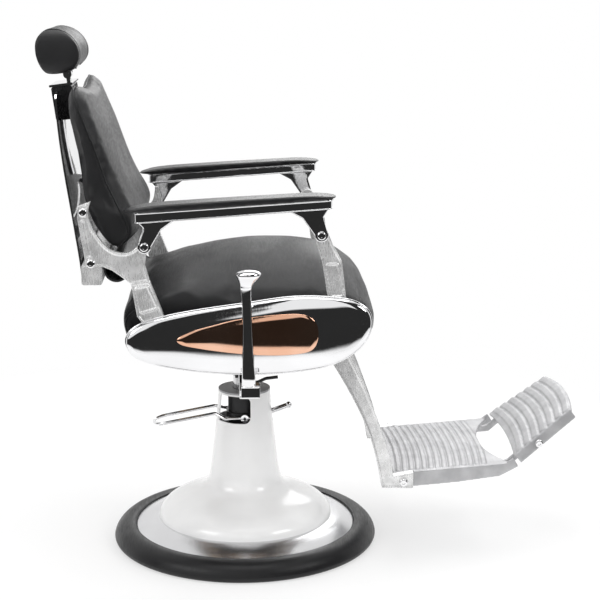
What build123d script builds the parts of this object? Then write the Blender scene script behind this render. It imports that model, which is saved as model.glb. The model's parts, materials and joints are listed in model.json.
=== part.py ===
from build123d import *
from math import cos, hypot, radians, sin
import os

os.makedirs("parts", exist_ok=True)

# ---------------------------------------------------------------------------
# Hydraulic barber chair, millimetres, +Z up, the sitter faces -Y.
# Origin: centre of the base, on the floor.  "Right" is the sitter's right, at -X.
# Side outlines are drawn as (forward, up) points, measured from the seat datum:
# the top of the swivel hub's flange, on the column's axis.
# ---------------------------------------------------------------------------

# Base
BASE_R = 300.0            # rubber rim, outside radius
RIM_WIDTH = 48.0          # rubber rim, bore to outside
RIM_H = 40.0              # rubber rim, height at its bore
RIM_CURL = 10.0           # how far the rim's foot stands in from its outside
PLATE_T = 14.0            # steel floor plate
DOME_T = 3.0              # chromed dome sheet
DOME_EDGE_Z = 35.0        # top of the dome's upright edge
DOME_SEAT_Z = 56.0        # flat ring that carries the column cover
DOME_SEAT_W = 12.0        # width of that ring

# Column cover
COVER_SKIRT_R = 198.0     # outside radius of the skirt
COVER_ROOM = 21.44        # pump cylinder to the outside of the cover's top, room for the pedal's wire
COVER_TOP_Z = 349.0       # height of the cover
COVER_T = 3.0             # shell wall
CAP_T = 4.0               # disc that closes the cover
WINDOW_REAR = -75.0       # side windows: rear end, forward end, sill and head
WINDOW_FRONT = 13.0
WINDOW_SILL = 284.0
WINDOW_HEAD = 345.0
WINDOW_IN = 24.0          # windows start this far from the middle plane
WINDOW_CORNER = 14.0

# Hydraulic pump and ram
RAM_R = 25.0
RAM_CLEAR = 0.06          # running clearance of the ram in its bush and hub
BUSH_T = 6.0
BUSH_LEN = 30.0
CYLINDER_WALL = 6.0
PISTON_CLEAR = 0.05
PISTON_H = 25.0
PISTON_Z = 60.0
FOOT_FLANGE_R = 62.0
FOOT_FLANGE_T = 8.0
FOOT_BOLT_PCR = 51.0
FOOT_BOLT_R = 4.0
RAM_DOWN = 30.0           # travel below the drawn height
COLLAR_T = 6.0
COLLAR_R = 32.0
HUB_R = 34.0
HUB_LEN = 47.7
FLANGE_R = 92.0
FLANGE_T = 8.0
GAP = 0.3                 # clearance between faces of different bodies

# Pedal
PEDAL_AXIS = (0.0, 292.0)
PEDAL_WIRE_R = 4.0
PEDAL_PIN_R = 3.0
PIN_CLEAR = 0.05          # running clearance of small pins
PEDAL_ROD_R = 6.0
PEDAL_BALL_R = 7.5

# Seat width and the layers beside it
SEAT_HALF = 263.0         # half the width of the seat cushion
BACK_HALF = 262.0         # half the width of the back cushion
POST_GAP = 7.0            # cushion to posts
POST_T = 18.0             # thickness of posts and back castings
SIDE_GAP = 2.0            # posts to side frames
SIDE_PLATE_T = 4.0
PANEL_DEPTH = 20.0
PANEL_WALL = 3.0
PANEL_ROUND = 13.0
INLAY_T = 1.5
ARM_OFFSET = 33.0         # arm centre line, outside the cushion
ARM_PAD_HALF = 32.0
ARM_TRAY_HALF = 24.0
BRACKET_T = 10.0
PIVOT_PIN_R = 9.0
PIVOT_LUG_R = 20.0
ARM_PIN_R = 6.0
ARM_LUG_R = 14.0
OPEN_PIVOT_CLEAR = 0.5    # the pivot that the model leaves open

# Pivots, (forward, up) from the seat datum
BACK_PIVOT = (-178, 108)
ARM_REAR_PIVOT = (-203, 283)
ARM_FRONT_PIVOT = (156.6, 303.8)
LEG_PIVOT = (195, 34)

# Leg rest
LEG_IN = 168.0
LEG_T = 22.0
LEG_SHAFT_R = 10.0
LEG_HUB_R = 22.0
FOOT_HALF = 163.0
FOOT_PLATE_T = 6.0
RIB_H = 3.0
TOE_TOP_HALF = 138.0
FOOT_REAR = (322, -247)
FOOT_FRONT = (572, -229)
TOE_LOW = (590, -215)
TOE_HIGH = (725, -111)

# Headrest yoke
YOKE_HALF = 34.0          # half the width of the plate under the head cushion
YOKE_ROOM = 6.0           # recess in the cushion, beyond the plate

# Recline lever
LEVER_PIVOT_OUT = 114.0
LEVER_PIVOT_UP = -26
LEVER_OUT = 333.0
LEVER_T = 16.0
LEVER_HEAD_UP = 27.0      # top of the arm's outer block, above the pivot
LINK_R = 3.5

# Derived levels and layers
CYLINDER_BORE_R = RAM_R + RAM_CLEAR + BUSH_T
CYLINDER_R = CYLINDER_BORE_R + CYLINDER_WALL
CYLINDER_TOP_Z = COVER_TOP_Z - 1.0
COVER_TOP_R = CYLINDER_R + COVER_ROOM
RIM_BORE_R = BASE_R - RIM_WIDTH
COLLAR_Z = COVER_TOP_Z + CAP_T + RAM_DOWN + 3.0
HUB_Z = COLLAR_Z + COLLAR_T + GAP
DATUM = HUB_Z + HUB_LEN + FLANGE_T
POST_IN = SEAT_HALF + POST_GAP
POST_OUT = POST_IN + POST_T
SIDE_IN = POST_OUT + SIDE_GAP
PANEL_IN = SIDE_IN + SIDE_PLATE_T
PANEL_OUT = PANEL_IN + PANEL_DEPTH
ARM_X = SEAT_HALF + ARM_OFFSET
BRACKET_IN = POST_OUT + GAP
BRACKET_OUT = BRACKET_IN + BRACKET_T
LEVER_X = PANEL_OUT + LEVER_OUT - 314.0
FRONT_PIVOT = (
    ARM_FRONT_PIVOT[0] + BACK_PIVOT[0] - ARM_REAR_PIVOT[0],
    ARM_FRONT_PIVOT[1] + BACK_PIVOT[1] - ARM_REAR_PIVOT[1],
)


# ---------------------------------------------------------------------------
# Helpers
# ---------------------------------------------------------------------------
def side_plane(x):
    """Fore-and-aft plane at x: local x runs forward, local y up, normal to the right."""
    return Plane(origin=(x, 0, DATUM), x_dir=(0, -1, 0), z_dir=(-1, 0, 0))


def slab(face, inner, outer):
    """Side outline made solid on the right, between two distances from the middle."""
    return extrude(side_plane(-inner) * face, outer - inner)


def across(face, half):
    """Side outline made solid right across, out to half on both sides."""
    return extrude(side_plane(half) * face, 2 * half)


def disc(point, radius):
    """Round face at a (forward, up) point."""
    return Pos(*point) * Circle(radius)


def poly(*points):
    """Face inside straight lines."""
    return make_face(Polyline(*points, close=True))


def smooth(*points):
    """Face inside one closed smooth curve."""
    return make_face(Spline(*points, periodic=True))


def lathe(face):
    """Face in (radius, height) turned about the column's axis."""
    return revolve(Plane.XZ * face, Axis.Z)


def ring(inner, outer, low, high):
    """Plain ring about the column's axis."""
    return lathe(poly((inner, low), (outer, low), (outer, high), (inner, high)))


def front_slab(face, rear, front):
    """Front-view outline, in (x, up from the datum), made solid between two forward distances."""
    plane = Plane(origin=(0, -rear, DATUM), x_dir=(1, 0, 0), z_dir=(0, -1, 0))
    return extrude(plane * face, front - rear)


def button_bolt(point, shank_r, shank_in, face, head_r, head_h):
    """Bolt along X on the right: a shank up to the face, and a domed head outside it."""
    shank = slab(disc(point, shank_r), shank_in, face)
    head = slab(disc(point, head_r), face, face + head_h)
    rim = head.edges().filter_by(GeomType.CIRCLE).sort_by(Axis.X)[0]
    socket = slab(disc(point, head_r * 0.4), face + head_h * 0.5, face + head_h + 1)
    return shank + (fillet(rim, head_h * 0.6) - socket)


def left(part):
    """The same piece on the sitter's left."""
    return mirror(part, about=Plane.YZ)


def save(name, part):
    """One STEP file for each sub-part."""
    export_step(part, f"parts/{name}.step")


def save_pair(name, part):
    """Right and left copies."""
    save(name + "_right", part)
    save(name + "_left", left(part))


def group(*parts):
    """Separate solids kept in one node."""
    solids = []
    for part in parts:
        solids.extend(part.solids())
    return Compound(solids)


# ---------------------------------------------------------------------------
# Base
# ---------------------------------------------------------------------------
def floor_plate():
    return Cylinder(RIM_BORE_R, PLATE_T, align=(Align.CENTER, Align.CENTER, Align.MIN))


def rubber_rim():
    foot_r = BASE_R - RIM_CURL
    profile = Polyline((RIM_BORE_R + 2, RIM_H), (RIM_BORE_R, RIM_H), (RIM_BORE_R, 0), (foot_r, 0))
    curl = ThreePointArc((foot_r, 0), (BASE_R - 3, RIM_CURL * 0.4), (BASE_R, RIM_CURL * 1.3))
    crown = ThreePointArc((BASE_R, RIM_CURL * 1.3), (BASE_R - 11, RIM_H * 0.8), (RIM_BORE_R + 2, RIM_H))
    return lathe(make_face(profile + curl + crown))


def base_dome():
    seat_out = COVER_SKIRT_R + 1
    seat_in = seat_out - DOME_SEAT_W
    hole_r = FOOT_FLANGE_R + 3
    bore_r = RIM_BORE_R
    inner_r = bore_r - DOME_T
    outer = Polyline((hole_r, DOME_SEAT_Z), (seat_out, DOME_SEAT_Z))
    outer += ThreePointArc(
        (seat_out, DOME_SEAT_Z),
        ((seat_out + bore_r) / 2, (DOME_SEAT_Z + DOME_EDGE_Z) / 2 + 3),
        (bore_r, DOME_EDGE_Z),
    )
    outer += Polyline(
        (bore_r, DOME_EDGE_Z), (bore_r, PLATE_T), (inner_r, PLATE_T), (inner_r, DOME_EDGE_Z - 2)
    )
    outer += ThreePointArc(
        (inner_r, DOME_EDGE_Z - 2),
        ((seat_out + inner_r) / 2, (DOME_SEAT_Z + DOME_EDGE_Z) / 2 + 1 - DOME_T),
        (seat_in, DOME_SEAT_Z - DOME_T),
    )
    outer += Polyline(
        (seat_in, DOME_SEAT_Z - DOME_T), (hole_r, DOME_SEAT_Z - DOME_T), (hole_r, DOME_SEAT_Z)
    )
    return lathe(make_face(outer))


def cover_profile():
    """Outside of the cover in (radius, height): flared skirt, then a slowly tapering neck."""
    foot = DOME_SEAT_Z
    neck_z = foot + 116
    middle_z = (neck_z + COVER_TOP_Z) / 2
    middle_r = (77.3 + COVER_TOP_R) / 2 - 1.2
    return [
        (COVER_SKIRT_R, foot),
        (COVER_SKIRT_R - 0.5, foot + 5),
        (COVER_SKIRT_R - 16, foot + 27),
        (COVER_SKIRT_R - 45, foot + 44),
        (COVER_SKIRT_R - 87, foot + 60),
        (88.0, foot + 77),
        (80.5, foot + 95),
        (77.3, neck_z),
        (middle_r, middle_z),
        (COVER_TOP_R, COVER_TOP_Z),
    ]


def shift(point, before, after, wall):
    """A point moved to the left of the line through its neighbours."""
    run = (after[0] - before[0], after[1] - before[1])
    size = hypot(*run)
    return (point[0] - wall * run[1] / size, point[1] + wall * run[0] / size)


def inset(points, wall):
    """Open profile moved inward by a wall; its two ends stay level."""
    moved = [shift(points[i], points[i - 1], points[i + 1], wall) for i in range(1, len(points) - 1)]
    first = (points[0][0] - wall, points[0][1])
    last = (points[-1][0] - wall, points[-1][1])
    return [first] + moved + [last]


def shrink(points, wall):
    """Closed anticlockwise outline moved inward by a wall."""
    count = len(points)
    return [shift(points[i], points[i - 1], points[(i + 1) % count], wall) for i in range(count)]


def column_cover():
    outside = cover_profile()
    inside = inset(outside, COVER_T)
    wall = Spline(*outside) + Line(outside[-1], inside[-1]) + Spline(*inside) + Line(inside[0], outside[0])
    shell = lathe(make_face(wall))
    middle = (WINDOW_REAR + WINDOW_FRONT) / 2
    opening = Pos(middle, (WINDOW_SILL + WINDOW_HEAD) / 2) * RectangleRounded(
        WINDOW_FRONT - WINDOW_REAR, WINDOW_HEAD - WINDOW_SILL, WINDOW_CORNER
    )
    window = extrude(Plane(origin=(-WINDOW_IN, 0, 0), x_dir=(0, -1, 0), z_dir=(-1, 0, 0)) * opening, 60)
    slot = Pos(0, -(COVER_TOP_R), PEDAL_AXIS[1] + 5) * Box(4 * PEDAL_ROD_R, 40, 42)
    return shell - window - left(window) - slot


def cover_cap():
    return ring(RAM_R + 1.5, COVER_TOP_R, COVER_TOP_Z, COVER_TOP_Z + CAP_T)


def pump_cylinder():
    tube = ring(CYLINDER_BORE_R, CYLINDER_R, PLATE_T, CYLINDER_TOP_Z)
    flange = ring(CYLINDER_BORE_R, FOOT_FLANGE_R, PLATE_T, PLATE_T + FOOT_FLANGE_T)
    holes = PolarLocations(FOOT_BOLT_PCR, 6) * Cylinder(FOOT_BOLT_R, 4 * PLATE_T)
    return tube + flange - [Pos(0, 0, PLATE_T) * hole for hole in holes]


def guide_bush():
    return ring(RAM_R + RAM_CLEAR, CYLINDER_BORE_R, CYLINDER_TOP_Z - BUSH_LEN, CYLINDER_TOP_Z)


def cylinder_bolts():
    shank = Cylinder(FOOT_BOLT_R, FOOT_FLANGE_T, align=(Align.CENTER, Align.CENTER, Align.MIN))
    head = Pos(0, 0, FOOT_FLANGE_T) * extrude(RegularPolygon(FOOT_BOLT_R * 1.8, 6), 5)
    bolt = Pos(0, 0, PLATE_T) * (shank + head)
    return group(*[place * bolt for place in PolarLocations(FOOT_BOLT_PCR, 6)])


def pedal_collar():
    low = PEDAL_AXIS[1] - 8
    band = ring(CYLINDER_R, CYLINDER_R + 4, low, low + 16)
    pin_in = CYLINDER_R + 3.5
    pin = Plane(origin=(-pin_in, 0, PEDAL_AXIS[1]), z_dir=(-1, 0, 0)) * Cylinder(
        PEDAL_PIN_R, 12, align=(Align.CENTER, Align.CENTER, Align.MIN)
    )
    return band + pin + left(pin)


# ---------------------------------------------------------------------------
# Pedal
# ---------------------------------------------------------------------------
def pedal_loop():
    side_x = CYLINDER_R + 9
    z0 = PEDAL_AXIS[1]
    route = FilletPolyline(
        (0, 205, 275),
        (-32, 205, 275),
        (-32, 66, 301),
        (-side_x, 44, z0),
        (-side_x, -22, z0),
        (-24, -side_x - 3, z0 + 2),
        (0, -side_x - 3, z0 + 2),
        radius=(28, 10, 10, 16, 12),
    )
    wire = sweep(Plane(origin=route @ 0, z_dir=route % 0) * Circle(PEDAL_WIRE_R), path=route)
    eye = Plane(origin=(-side_x + 3.5, 0, z0), z_dir=(-1, 0, 0)) * Cylinder(
        9, 7, align=(Align.CENTER, Align.CENTER, Align.MIN)
    )
    bore = Plane(origin=(0, 0, z0), z_dir=(-1, 0, 0)) * Cylinder(PEDAL_PIN_R + PIN_CLEAR, 200)
    half = wire + eye
    return half + left(half) - bore


def pedal_rod():
    side_x = CYLINDER_R + 9
    start = Vector(0, -side_x - 3 - PEDAL_WIRE_R, PEDAL_AXIS[1] + 1)
    end = Vector(0, -101, 310)
    run = Plane(origin=start, z_dir=end - start)
    rod = run * Cylinder(PEDAL_ROD_R, (end - start).length, align=(Align.CENTER, Align.CENTER, Align.MIN))
    behind = Pos(0, start.Y + 10, start.Z) * Box(40, 20, 40)
    return rod - behind + Pos(end.X, end.Y, end.Z) * Sphere(PEDAL_BALL_R)


# ---------------------------------------------------------------------------
# Ram
# ---------------------------------------------------------------------------
def ram_tube():
    top = HUB_Z + HUB_LEN - 4
    return ring(RAM_R - 5, RAM_R, PISTON_Z + PISTON_H, top)


def ram_piston():
    body = ring(8, CYLINDER_BORE_R - PISTON_CLEAR, PISTON_Z, PISTON_Z + PISTON_H)
    groove = ring(CYLINDER_BORE_R - 3, CYLINDER_R, PISTON_Z + 9, PISTON_Z + 15)
    return body - groove


def thrust_collar():
    return ring(RAM_R, COLLAR_R, COLLAR_Z, COLLAR_Z + COLLAR_T)


# ---------------------------------------------------------------------------
# Seat
# ---------------------------------------------------------------------------
def swivel_hub():
    hub = ring(RAM_R + RAM_CLEAR, HUB_R, HUB_Z, HUB_Z + HUB_LEN)
    flange_z = HUB_Z + HUB_LEN
    flange = ring(RAM_R - 8, FLANGE_R, flange_z, flange_z + FLANGE_T)
    return hub + flange


RAIL_IN = 58.0
RAIL_OUT = 88.0
RAIL_H = 36.0
CROSS_H = 28.0
BOARD_T = 15.0


def seat_frame():
    """Welded frame: two rails with ears for the leg shaft, and two cross tubes on top."""
    rail = poly(
        (-190, 0),
        (LEG_PIVOT[0] + 10, 0),
        (LEG_PIVOT[0] + 18, 10),
        (LEG_PIVOT[0] + 18, LEG_PIVOT[1] + 15),
        (LEG_PIVOT[0] - 20, LEG_PIVOT[1] + 15),
        (LEG_PIVOT[0] - 32, RAIL_H),
        (-190, RAIL_H),
    )
    rail_right = slab(rail, RAIL_IN, RAIL_OUT)
    frame = rail_right + left(rail_right)
    for middle in (-120, 125):
        section = RectangleRounded(40, CROSS_H, 4) - Rectangle(34, CROSS_H - 6)
        frame_tube = Pos(middle, RAIL_H + CROSS_H / 2) * section
        frame += across(frame_tube, SIDE_IN)
    bore = across(disc(LEG_PIVOT, LEG_SHAFT_R), 150)
    return frame - bore


def seat_board():
    level = RAIL_H + CROSS_H
    board = poly((-214, level), (238, level), (238, level + BOARD_T), (-214, level + BOARD_T))
    return across(board, SEAT_HALF - 25)


def seat_cushion():
    """Deep box cushion: highest ahead of its middle, crowned across, with a rounded front."""
    half = SEAT_HALF
    floor_v = RAIL_H + CROSS_H + BOARD_T
    outside = Spline(
        (-240, 49),
        (-258, 97),
        (-257, 140),
        (-231, 172),
        (-168, 197),
        (-87, 226),
        (-29, 237),
        (40, 243),
        (110, 241),
        (165, 232),
        (212, 212),
        (248, 182),
        (272, 147),
        (285, 112),
        (281, 76),
    )
    under = Polyline(
        (281, 76),
        (266, 64),
        (243, 64),
        (243, floor_v),
        (-218, floor_v),
        (-222, 49),
        (-240, 49),
    )
    side = across(make_face(outside + under), half)
    crown = Spline(
        (-half, 152),
        (-half + 16, 174),
        (-half / 2, 224),
        (0, 243),
        (half / 2, 224),
        (half - 16, 174),
        (half, 152),
    )
    walls = Polyline((half, 152), (half, 0), (-half, 0), (-half, 152))
    nose = Spline(
        (-half, -238), (-half + 12, -262), (-half / 2, -283),
        (half / 2, -283), (half - 12, -262), (half, -238)
    )
    sides = Polyline((half, -238), (half, 320), (-half, 320), (-half, -238))
    plan = Pos(0, 0, DATUM) * extrude(make_face(nose + sides), 400)
    return side & front_slab(make_face(crown + walls), -300, 320) & plan


def panel_outline():
    return [
        (-244, 92),
        (-222, 52),
        (-135, 28),
        (-20, 16),
        (95, 19),
        (190, 38),
        (248, 82),
        (258, 137),
        (215, 169),
        (110, 177),
        (0, 164),
        (-125, 146),
        (-210, 125),
    ]


def side_panel():
    """Pressed dish with a rounded edge; its rim sits on the side frame."""
    outline = smooth(*panel_outline())
    body = slab(outline, PANEL_IN, PANEL_OUT)
    face = body.faces().sort_by(Axis.X)[0]
    body = fillet(face.edges(), PANEL_ROUND)
    inside = smooth(*shrink(panel_outline(), PANEL_WALL))
    hollow = slab(inside, PANEL_IN - 1, PANEL_OUT - PANEL_WALL)
    floor = hollow.faces().sort_by(Axis.X)[0]
    return body - fillet(floor.edges(), PANEL_ROUND - PANEL_WALL)


def inlay():
    """Teardrop metal inlay on the panel's face."""
    outline = smooth(
        (-139, 95),
        (-110, 110),
        (-67, 122),
        (-16, 134),
        (50, 142),
        (112, 144),
        (142, 130),
        (150, 99),
        (138, 69),
        (100, 59),
        (40, 58),
        (-30, 64),
        (-100, 75),
        (-132, 83),
    )
    return slab(outline, PANEL_OUT, PANEL_OUT + INLAY_T)


def side_frame():
    """Steel plate behind the panel, between the cross tubes and the panel's rim."""
    body = slab(smooth(*shrink(panel_outline(), 1)), SIDE_IN, PANEL_IN)
    for pivot in (BACK_PIVOT, FRONT_PIVOT):
        body -= slab(disc(pivot, PIVOT_PIN_R), SIDE_IN - 1, PANEL_IN + 1)
    return body


def post_pivot_pins():
    """Headed pins that the posts turn on, held in the side frames."""
    pins = []
    for pivot in (BACK_PIVOT, FRONT_PIVOT):
        head = slab(disc(pivot, PIVOT_PIN_R + 5), POST_IN - GAP - 4, POST_IN - GAP)
        shank = slab(disc(pivot, PIVOT_PIN_R), POST_IN - GAP, PANEL_IN)
        nut = slab(Pos(*pivot) * RegularPolygon(PIVOT_PIN_R + 5, 6), PANEL_IN, PANEL_IN + 7)
        pin = head + shank + nut
        pins += [pin, left(pin)]
    return group(*pins)


def leg_shaft():
    half = LEG_IN + LEG_T
    shaft = across(disc(LEG_PIVOT, LEG_SHAFT_R), half + GAP)
    collar = slab(disc(LEG_PIVOT, LEG_SHAFT_R + 5), half + GAP, half + 6)
    return shaft + collar + left(collar)


def lever_bracket():
    """Clevis on the outside of the right rail."""
    pivot = LEVER_PIVOT_OUT
    low = LEVER_PIVOT_UP - 13
    bracket = slab(poly((-21, 2), (21, 2), (21, RAIL_H - 2), (-21, RAIL_H - 2)), RAIL_OUT, RAIL_OUT + 6)
    for sign in (-1, 1):
        middle = sign * 17.5
        rear = middle - 3.5
        front = middle + 3.5
        ear = poly((rear, low), (front, low), (front, RAIL_H - 2), (rear, RAIL_H - 2))
        bracket += slab(ear, RAIL_OUT + 6, pivot + 13)
    bore = Plane(origin=(-pivot, 0, DATUM + LEVER_PIVOT_UP), z_dir=(0, 1, 0)) * Cylinder(5 + PIN_CLEAR, 80)
    keep = slab(poly((-21, low), (21, low), (21, 2), (-21, 2)), RAIL_OUT - 1, RAIL_OUT + 6)
    return bracket - bore - keep


# ---------------------------------------------------------------------------
# Recline lever
# ---------------------------------------------------------------------------
def lever_arm():
    """Flat arm with trunnions in the clevis, running out under the side panel."""
    pivot = LEVER_PIVOT_OUT
    up = LEVER_PIVOT_UP
    boss = Plane(origin=(-pivot, 0, DATUM + up), z_dir=(0, 1, 0)) * Cylinder(10, 27)
    trunnion = Plane(origin=(-pivot, 0, DATUM + up), z_dir=(0, 1, 0)) * Cylinder(5, 42)
    arm = slab(poly((-13, up - 8), (13, up - 8), (13, up + 8), (-13, up + 8)), pivot, LEVER_X - 20)
    head = poly((-10, up + 2), (29, up + 2), (29, up + LEVER_HEAD_UP), (-10, up + LEVER_HEAD_UP))
    return arm + slab(head, LEVER_X - 24, LEVER_X + LEVER_T) + boss + trunnion


def lever_upright():
    """Tapered bar with a waist under the knob."""
    low = LEVER_PIVOT_UP + LEVER_HEAD_UP
    outline = poly(
        (-10, 201), (-5, 142), (-6, 85), (-8, low), (20, low), (15, 85), (13, 142), (13, 201)
    )
    return slab(outline, LEVER_X, LEVER_X + LEVER_T)


def lever_knob():
    middle = LEVER_X + LEVER_T / 2
    base = 201
    half_profile = Polyline((0, base), (9, base)) + Spline(
        (9, base), (12, base + 8), (24, base + 24), (25, base + 33), (15, base + 39), (0, base + 40)
    )
    half_profile += Line((0, base + 40), (0, base))
    ahead = 5
    cut = Plane(origin=(-middle, -ahead, DATUM), x_dir=(0, -1, 0), z_dir=(-1, 0, 0))
    return revolve(cut * make_face(half_profile), Axis((-middle, -ahead, DATUM), (0, 0, 1)))


def lever_link():
    """Bent rod from the arm to the recline lock."""
    x = -(LEVER_PIVOT_OUT + 86)
    up = DATUM + LEVER_PIVOT_UP
    route = FilletPolyline(
        (x, -13, up - 3), (x, -27, up - 3), (x, -44, up + 5), (x, -70, up + 8), radius=(14, 16)
    )
    return sweep(Plane(origin=route @ 0, z_dir=route % 0) * Circle(LINK_R), path=route)


# ---------------------------------------------------------------------------
# Backrest
# ---------------------------------------------------------------------------
CASTING_BOLTS = ((-325, 353.5), (-312, 248.5))
POST_STEP = ((-232, 205), (-194, 210))


def back_casting():
    """Cradle casting beside the back cushion, ending in the socket of the rear post."""
    cradle = Spline(
        (-309, 375),
        (-315, 347),
        (-300, 308),
        (-272, 276),
        (-244, 269),
        (-219, 281),
        (-209, 304),
        (-206, 328),
    )
    edge = Polyline(
        (-206, 328),
        (-198, 328),
        (-189, 290),
        (-200, 264),
        (-203, 242),
        POST_STEP[1],
        POST_STEP[0],
        (-252, 221),
        (-270, 234),
        (-290, 242),
        (-322, 242),
        (-337, 342),
        (-335, 366),
        (-309, 375),
    )
    face = make_face(cradle + edge) + disc(ARM_REAR_PIVOT, ARM_LUG_R)
    body = slab(face, POST_IN, POST_OUT)
    body -= slab(disc(ARM_REAR_PIVOT, ARM_PIN_R), POST_IN - 1, POST_OUT + 1)
    for point in CASTING_BOLTS:
        body -= slab(disc(point, 5), POST_IN - 1, POST_OUT + 1)
    groove = poly((-329, 334), (-324, 335), (-312, 264), (-317, 263))
    return body - slab(groove, POST_OUT - 3, POST_OUT + 1)


def rear_post():
    """Ribbed post from the casting down to the back pivot."""
    face = poly(POST_STEP[0], (-221, 137), (-197, 105), (-159, 114), (-172, 153), POST_STEP[1])
    face += disc(BACK_PIVOT, PIVOT_LUG_R)
    body = slab(face, POST_IN, POST_OUT)
    body -= slab(disc(BACK_PIVOT, PIVOT_PIN_R + PIN_CLEAR), POST_IN - 1, POST_OUT + 1)
    recess = poly((-222, 196), (-212, 146), (-180, 155), (-200, 200))
    return body - slab(recess, POST_OUT - 2.5, POST_OUT + 1)


def back_plate():
    """Polished plate behind the back, a little narrower above than below."""
    rear = Spline((-336, 207), (-354, 338), (-369, 422), (-381, 510), (-387, 584))
    front = Spline((-383, 584), (-377, 510), (-365, 422), (-350, 338), (-332, 207))
    face = make_face(rear + Line(rear @ 1, front @ 0) + front + Line(front @ 1, rear @ 0))
    low_half = POST_IN - 30
    mid_half = 198
    high_half = 176
    shape = poly(
        (-low_half, 202),
        (low_half, 202),
        (low_half, 292),
        (mid_half, 457),
        (high_half, 584),
        (-high_half, 584),
        (-mid_half, 457),
        (-low_half, 292),
    )
    shape = fillet(shape.vertices().group_by(Axis.Y)[-1], 25)
    return across(face, low_half) & front_slab(shape, -420, -300)


def back_base_bar():
    bar = across(poly((-332, 204), (-290, 204), (-290, 242), (-332, 242)), POST_OUT)
    lower = bar.edges().filter_by(Axis.X).group_by(Axis.Z)[0]
    return fillet(lower, 5)


def back_cross_tube():
    return across(disc((-262, 232), 26) - disc((-262, 232), 22), POST_IN)


def backrest_cushion():
    side = across(
        smooth(
            (-356, 610),
            (-345, 527),
            (-329, 452),
            (-319, 370),
            (-300, 314),
            (-262, 266),
            (-228, 274),
            (-210, 309),
            (-230, 357),
            (-265, 432),
            (-297, 522),
            (-324, 592),
            (-338, 614),
        ),
        BACK_HALF,
    )
    low = BACK_HALF
    high = BACK_HALF - 22
    edge = Polyline((low, 432), (low, 252), (-low, 252), (-low, 432))
    crown = Spline(
        (-low, 432),
        (-high - 10, 552),
        (-high + 22, 606),
        (-170, 614),
        (-95, 605),
        (0, 600),
        (95, 605),
        (170, 614),
        (high - 22, 606),
        (high + 10, 552),
        (low, 432),
    )
    return side & front_slab(make_face(edge + crown), -400, -180)


def back_bolts():
    """Four casting bolts and the two rear arm pivots."""
    bolts = []
    for point in CASTING_BOLTS:
        bolts.append(button_bolt(point, 5, BACK_HALF, POST_OUT, 9, 6))
    pivot = button_bolt(ARM_REAR_PIVOT, ARM_PIN_R, POST_IN, BRACKET_OUT + GAP, 9, 5)
    bolts.append(pivot)
    return group(*bolts, *[left(bolt) for bolt in bolts])


# Headrest: the post slides along this direction, in (forward, up)
HOLDER_POINT = (-368, 556)
POST_LEAN = radians(7.3)
POST_HALF_W = 12.0
POST_DEPTH = 8.0
HEAD_PIVOT_UP = 44.0      # along the post from the holder's middle
HOLDER_HALF_W = 62.0
HOLDER_HALF_H = 36.0


def lean_plane(x):
    """Side plane turned so that local y runs up the headrest post."""
    base = side_plane(x)
    origin = base.from_local_coords(Vector(*HOLDER_POINT, 0))
    up = Vector(0, sin(POST_LEAN), cos(POST_LEAN))
    forward = Vector(0, -cos(POST_LEAN), sin(POST_LEAN))
    return Plane(origin=origin, x_dir=forward, z_dir=(-1, 0, 0)), up


def lean_bar(face, half):
    plane, up = lean_plane(half)
    return extrude(plane * face, 2 * half)


def headrest_holder():
    """Moulded guide box on top of the back plate."""
    body = lean_bar(Pos(-12, 0) * RectangleRounded(44, 2 * HOLDER_HALF_H, 5), HOLDER_HALF_W)
    slot = lean_bar(Rectangle(POST_DEPTH + 2 * GAP, 4 * HOLDER_HALF_H), POST_HALF_W + GAP)
    return body - slot - back_plate()


def holder_cap():
    plate = lean_bar(Pos(-12, HOLDER_HALF_H + 2.5) * RectangleRounded(50, 5, 2), HOLDER_HALF_W + 4)
    slot = lean_bar(Rectangle(POST_DEPTH + 2 * GAP, 4 * HOLDER_HALF_H), POST_HALF_W + GAP)
    return plate - slot


def headrest_post():
    blank = Rectangle(POST_DEPTH, 184 + HEAD_PIVOT_UP)
    bar = lean_bar(Pos(0, -75 + HEAD_PIVOT_UP / 2 + 8) * blank, POST_HALF_W)
    eye = lean_bar(Pos(0, HEAD_PIVOT_UP + 12) * Circle(9), POST_HALF_W)
    bore = lean_bar(Pos(0, HEAD_PIVOT_UP + 12) * Circle(5 + PIN_CLEAR), POST_HALF_W + 5)
    trim = lean_bar(Pos(0, HEAD_PIVOT_UP + 12 + 50) * Rectangle(40, 100), POST_HALF_W + 5)
    return (bar - trim) + eye - bore


def headrest_yoke():
    """Fork that carries the headrest on the post's eye."""
    plate = lean_bar(Pos(2, HEAD_PIVOT_UP + 12 + 13) * Rectangle(44, 5), YOKE_HALF)
    pin = lean_bar(Pos(0, HEAD_PIVOT_UP + 12) * Circle(5), POST_HALF_W + GAP + 7)
    plane, up = lean_plane(-(POST_HALF_W + GAP))
    ear_face = Pos(0, HEAD_PIVOT_UP + 12) * Circle(9) + Pos(0, HEAD_PIVOT_UP + 12 + 6) * Rectangle(18, 12)
    ear = extrude(plane * ear_face, 6)
    return plate + pin + ear + left(ear)


def headrest_pad():
    outline = smooth(
        (-418, 619),
        (-433, 657),
        (-431, 692),
        (-408, 714),
        (-376, 712),
        (-345, 687),
        (-336, 650),
        (-354, 624),
        (-387, 614),
    )
    front_view = Pos(0, 664) * RectangleRounded(236, 106, 34)
    body = across(outline, 118) & front_slab(front_view, -460, -300)
    plane, up = lean_plane(YOKE_HALF + YOKE_ROOM)
    below = plane * (Pos(0, HEAD_PIVOT_UP + 12 + 15.5 - 50) * Rectangle(200, 100))
    return body - extrude(below, 2 * (YOKE_HALF + YOKE_ROOM))


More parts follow.
